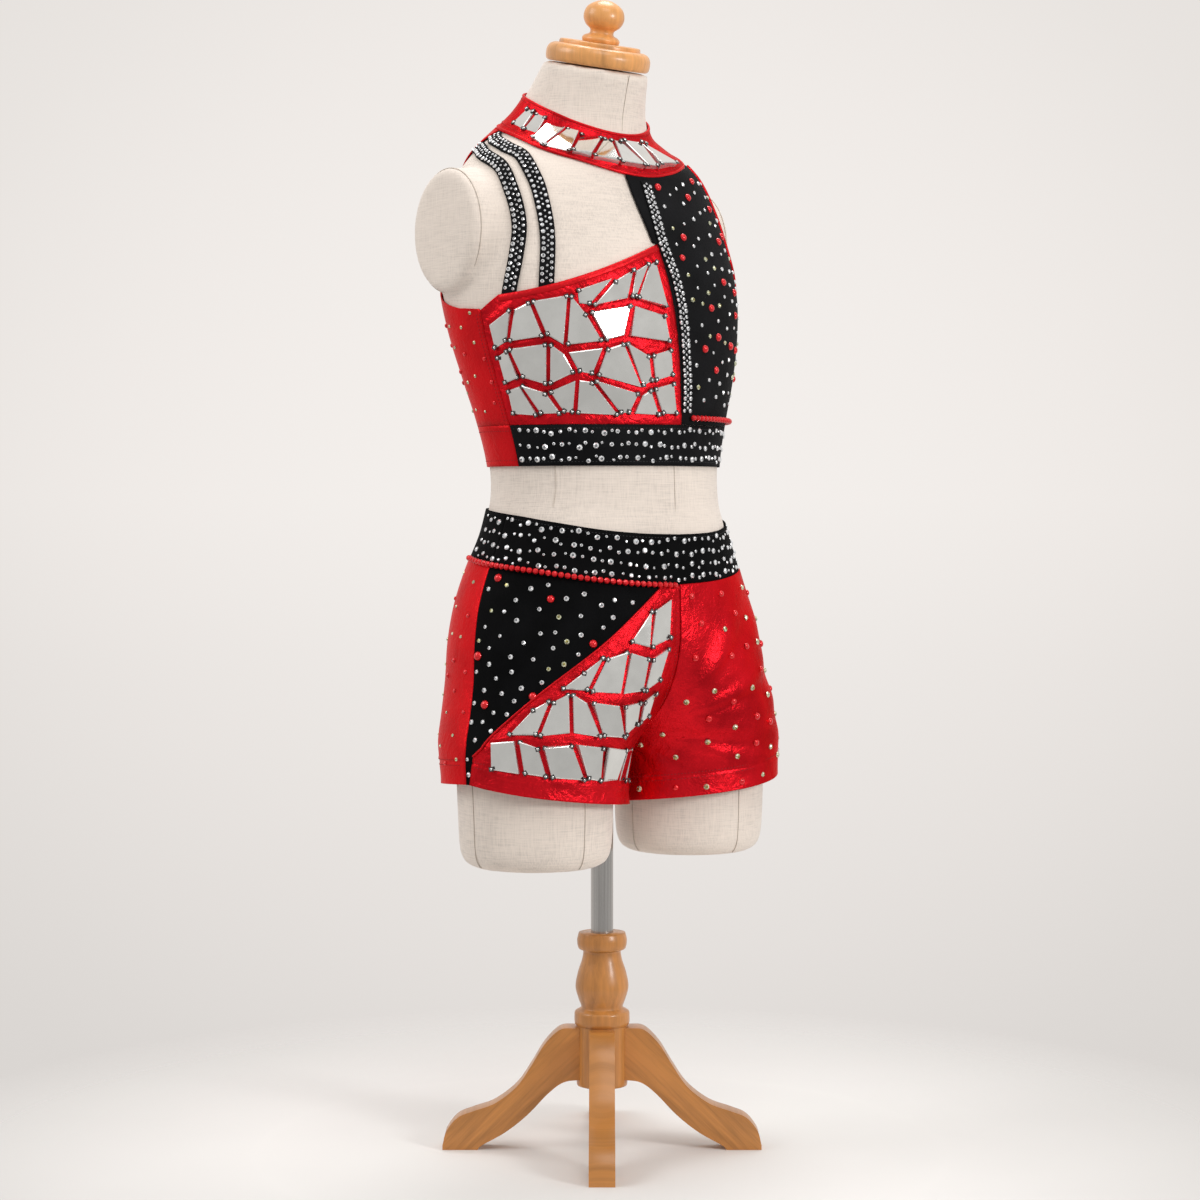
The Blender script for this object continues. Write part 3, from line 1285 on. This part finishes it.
def panel_stones(name, table, ceiling, surface, spacing, off, mixes, allowed=None):
    u, v = rng.uniform(0.05, 0.95, (2, 4000))
    across, h = panel_places(table, ceiling, u, v)
    if allowed:
        inside = allowed(across, h)
        across, h = across[inside], h[inside]
    mixed_stones(name, surface, scatter(surface, np.stack([across, h], -1), OVER, spacing), off, mixes)


def beside_trim(angle, h):
    line = np.asarray(HALTER_TRIM)
    return angle > np.interp(-h, -line[:, 1], line[:, 0]) + 5


dome = dome_shape()
halter_mix = [
    (clear, stone_centre, None, (2.8, 4.4), 0.6),
    (tint_stone, tint_centre, None, (3.6, 4.8), 0.2),
    (red_dome, None, dome, (6, 7.4), 0.2),
]
black_mix = [
    (clear, stone_centre, None, (3.2, 4.8), 0.78),
    (tint_stone, tint_centre, None, (3.8, 4.8), 0.11),
    (red_dome, None, dome, (6.4, 8), 0.11),
]
left_mix = [(tint_stone, tint_centre, None, (4.8, 6), 0.5), (red_dome, None, dome, (5.4, 6.8), 0.5)]
side_mix = [(tint_stone, tint_centre, None, (2.6, 3.6), 0.6), (red_dome, None, dome, (3.6, 4.6), 0.4)]


def left_height(turn, h):
    return SKIN_GAP + PANEL_THICK + leg_folds(turn, h)


panel_stones("halter_stones", HALTER_PANEL, collar_edge, on_trunk, 12.5, 2.4, halter_mix, beside_trim)
panel_stones("shorts_black_stones", BLACK_PANEL, waist_edge, right, 12, 2.4, black_mix)
panel_stones("shorts_left_stones", LEFT_FRONT_PANEL, waist_edge, left, 23, left_height, left_mix)
SIDE_STONES = {
    "top_right_side_stones": (on_trunk, (238, 277), (640, 725), 17),
    "top_left_side_stones": (on_trunk, (83, 122), (640, 725), 17),
    "shorts_right_side_stones": (right, (0.5, 0.66), (345, 505), 19),
    "shorts_left_side_stones": (left, (0.5, 0.66), (345, 505), 19),
}
for name, (surface, across, heights, spacing) in SIDE_STONES.items():
    places = rng.uniform((across[0], heights[0]), (across[1], heights[1]), (900, 2))
    mixed_stones(name, surface, scatter(surface, places, OVER, spacing), 2.45, side_mix)


# sewing


def stitches(name, lines, material, pitch=2.9, length=2.1):
    """Rows of short stitches; a line is (places, surface, height above the form)."""
    spots, axes = [], []
    for places, surface, off in lines:
        run = run_of(surface(*np.asarray(places, float).T, off))[-1]
        points, _, normals, sides, along = line_frames(places, surface, off, max(int(run / pitch), 3))
        spots.append(points)
        axes.append(np.stack([along, sides, normals], 1))
    half, wide, end = length / 2, 0.32, length * 0.3
    foot = [(-half, 0, -0.2), (0, -wide, -0.1), (half, 0, -0.2), (0, wide, -0.1)]
    faces = [(0, 1, 4), (4, 1, 5), (1, 2, 5), (2, 3, 5), (5, 3, 4), (3, 0, 4)]
    stitch = foot + [(-end, 0, 0.2), (end, 0, 0.2)]
    spots, axes = np.concatenate(spots), np.concatenate(axes)
    piece = join_solids(name, stitch, faces, spots, axes, 1.0, material, True)
    finish_piece(piece, "form")


def panel_edge(table, ceiling, v, rise, start=0.03, end=0.97, count=14):
    u = np.linspace(start, end, count)
    across, h = panel_places(table, ceiling, u, np.full(count, float(v)))
    return np.stack([across, h + rise], -1)


hem_lines = []
for table, surface, off in (
    (SHORTS_MIRROR_PANEL, right, 3.0),
    (LEFT_FRONT_PANEL, left, 3.6),
    (SHORTS_BACK_PANEL, right, 2.95),
    (SHORTS_BACK_PANEL, left, 2.95),
):
    for rise in (HEM - 2.2, HEM + 2.2):
        hem_lines.append((panel_edge(table, waist_edge, 1, rise), surface, off))
stitches("hem_stitches", hem_lines, thread_red)

seam_lines = [([(a, h) for h in (634, 680, 722)], on_trunk, 2.6) for a in (-80.9, -82.6)]
seam_lines += [([(a, h) for a in (235, 255, 280)], on_trunk, 2.6) for h in (600, 625)]
for table, surface in ((SHORTS_MIRROR_PANEL, right), (LEFT_FRONT_PANEL, left)):
    seam_lines.append(([(0.012, 492), (0.012, 460), (0.012, 425), (0.014, 392)], surface, 2.4))
collar_places = [(a, at_height(COLLAR, [a])[0]) for a in range(-176, 177, 16)]
seam_lines.append(([(a, row[1] + 4.2) for a, row in collar_places], on_trunk, 2.2))
seam_lines.append(([(a, row[2] - 3.6) for a, row in collar_places], on_trunk, 2.2))
stitches("red_seam_stitches", seam_lines, thread_red)

diagonal = [(row[0], row[1]) for row in BLACK_PANEL[:5]]
piping_line = ribbon("diagonal_piping", diagonal, right, 1.7, 1.9, 1.3, binding, count=90, crown=0.5)
finish_piece(piping_line, "form")
black_lines = [
    ([(a - 2.4, h) for a, h in ARMHOLE_PIPING[:4]], on_trunk, 2.5),
    ([(a, 598.5) for a in range(-78, 79, 12)], on_trunk, 2.3),
    ([(a, 626.6) for a in range(-78, 79, 12)], on_trunk, 2.3),
    ([(t, float(waist_high(np.array(t))) - 3.0) for t in np.linspace(-0.47, 0.47, 12)], around_hips, 2.2),
]
stitches("black_stitches", black_lines, thread_black)
for name, column, shift in (("collar_upper_edge", 2, -0.9), ("collar_lower_edge", 1, 1.3)):
    line = [(a, row[column] + shift) for a, row in collar_places]
    finish_piece(ribbon(name, line, on_trunk, 2.4, 1.4, 1.0, binding, count=180, crown=0.5), "form")

# light, floor and camera

FLOOR_RADIUS = 700
ring = np.linspace(0, 2 * np.pi, 96, endpoint=False)
rim = np.stack([FLOOR_RADIUS * np.cos(ring), FLOOR_RADIUS * np.sin(ring), 0 * ring], -1)
floor = new_object("floor", rim, [tuple(range(96))])
pale, tree, shader, where = new_look("pale_floor", {"Roughness": 0.9})
floor_shades = [(0.75, 0.735, 0.715), (0.79, 0.775, 0.755)]
paint(tree, shader, noise(tree, where, 2.0, 3), (0.3, 0.7), floor_shades)
away = node(tree, "ShaderNodeVectorMath", operation="LENGTH")
tree.links.new(where, away.inputs[0])
fade = greys(tree, away.outputs["Value"], [(0.3, 1), (0.45, 0.6), (0.66, 0)])
clear_shader = node(tree, "ShaderNodeBsdfTransparent")
mix = node(tree, "ShaderNodeMixShader")
tree.links.new(fade, mix.inputs[0])
tree.links.new(clear_shader.outputs[0], mix.inputs[1])
tree.links.new(shader.outputs[0], mix.inputs[2])
tree.links.new(mix.outputs[0], tree.nodes["Material Output"].inputs["Surface"])
floor.data.materials.append(pale)

# studio walls as world light: pale behind the form, greyer on the photographer's side
VIEW_YAW = math.radians(40)
world = bpy.context.scene.world or bpy.data.worlds.new("studio")
bpy.context.scene.world = world
world.use_nodes = True
tree = world.node_tree
sky = node(tree, "ShaderNodeTexCoord").outputs["Generated"]
toward = node(tree, "ShaderNodeVectorMath", operation="DOT_PRODUCT")
toward.inputs[1].default_value = (0.5 * math.sin(VIEW_YAW), 0.5 * math.cos(VIEW_YAW), 0)
tree.links.new(sky, toward.inputs[0])
share = maths(tree, "ADD", toward.outputs["Value"], 0.5)
WALLS = [
    (0.0, (0.5, 0.494, 0.486)),
    (0.4, (0.55, 0.542, 0.532)),
    (0.72, (0.74, 0.72, 0.7)),
    (0.982, (0.80, 0.765, 0.735)),
    (0.993, (0.87, 0.83, 0.80)),
    (1.0, (0.905, 0.868, 0.838)),
]
split = node(tree, "ShaderNodeSeparateXYZ")
tree.links.new(sky, split.inputs[0])
half = maths(tree, "MULTIPLY", maths(tree, "ADD", split.outputs["Z"], 1.0), 0.5)
level = greys(tree, half, [(0.0, 0.8), (0.4, 0.88), (0.47, 0.95), (0.5, 1), (1.0, 1)])
product = node(tree, "ShaderNodeVectorMath", operation="MULTIPLY")
tree.links.new(ramp(tree, share, WALLS), product.inputs[0])
tree.links.new(level, product.inputs[1])
tree.links.new(product.outputs["Vector"], tree.nodes["Background"].inputs["Color"])
tree.nodes["Background"].inputs["Strength"].default_value = 1.0


def area_light(name, azimuth, elevation, distance, width, power):
    """Soft square light aimed at the middle of the form."""
    azimuth, elevation = math.radians(azimuth), math.radians(elevation)
    level = math.cos(elevation)
    away = Vector((math.sin(azimuth) * level, -math.cos(azimuth) * level, math.sin(elevation)))
    data = bpy.data.lights.new(name, "AREA")
    data.shape = "SQUARE"
    data.size = width
    data.energy = power
    lamp = bpy.data.objects.new(name, data)
    lamp.location = Vector((0, 0, 0.68)) + away * distance
    lamp.rotation_euler = away.to_track_quat("Z", "Y").to_euler()
    bpy.context.scene.collection.objects.link(lamp)


area_light("key", 10, 11, 2.5, 0.55, 24)
area_light("front", -22, 52, 2.6, 1.3, 15)
area_light("left", -115, 35, 2.6, 1.3, 22)
area_light("top", 125, 68, 2.2, 0.9, 18)

EYE_DISTANCE = 2.3625
EYE_HEIGHT = 0.567
camera_data = bpy.data.cameras.new("camera")
camera = bpy.data.objects.new("camera", camera_data)
bpy.context.scene.collection.objects.link(camera)
camera.location = (-math.sin(VIEW_YAW) * EYE_DISTANCE, -math.cos(VIEW_YAW) * EYE_DISTANCE, EYE_HEIGHT)
camera.rotation_euler = (math.radians(90), 0, -VIEW_YAW)
camera_data.lens = 81
camera_data.sensor_width = 36
camera_data.shift_x = -2 / 1200
camera_data.shift_y = -101 / 1200
bpy.context.scene.camera = camera
bpy.context.scene.view_settings.view_transform = "Standard"
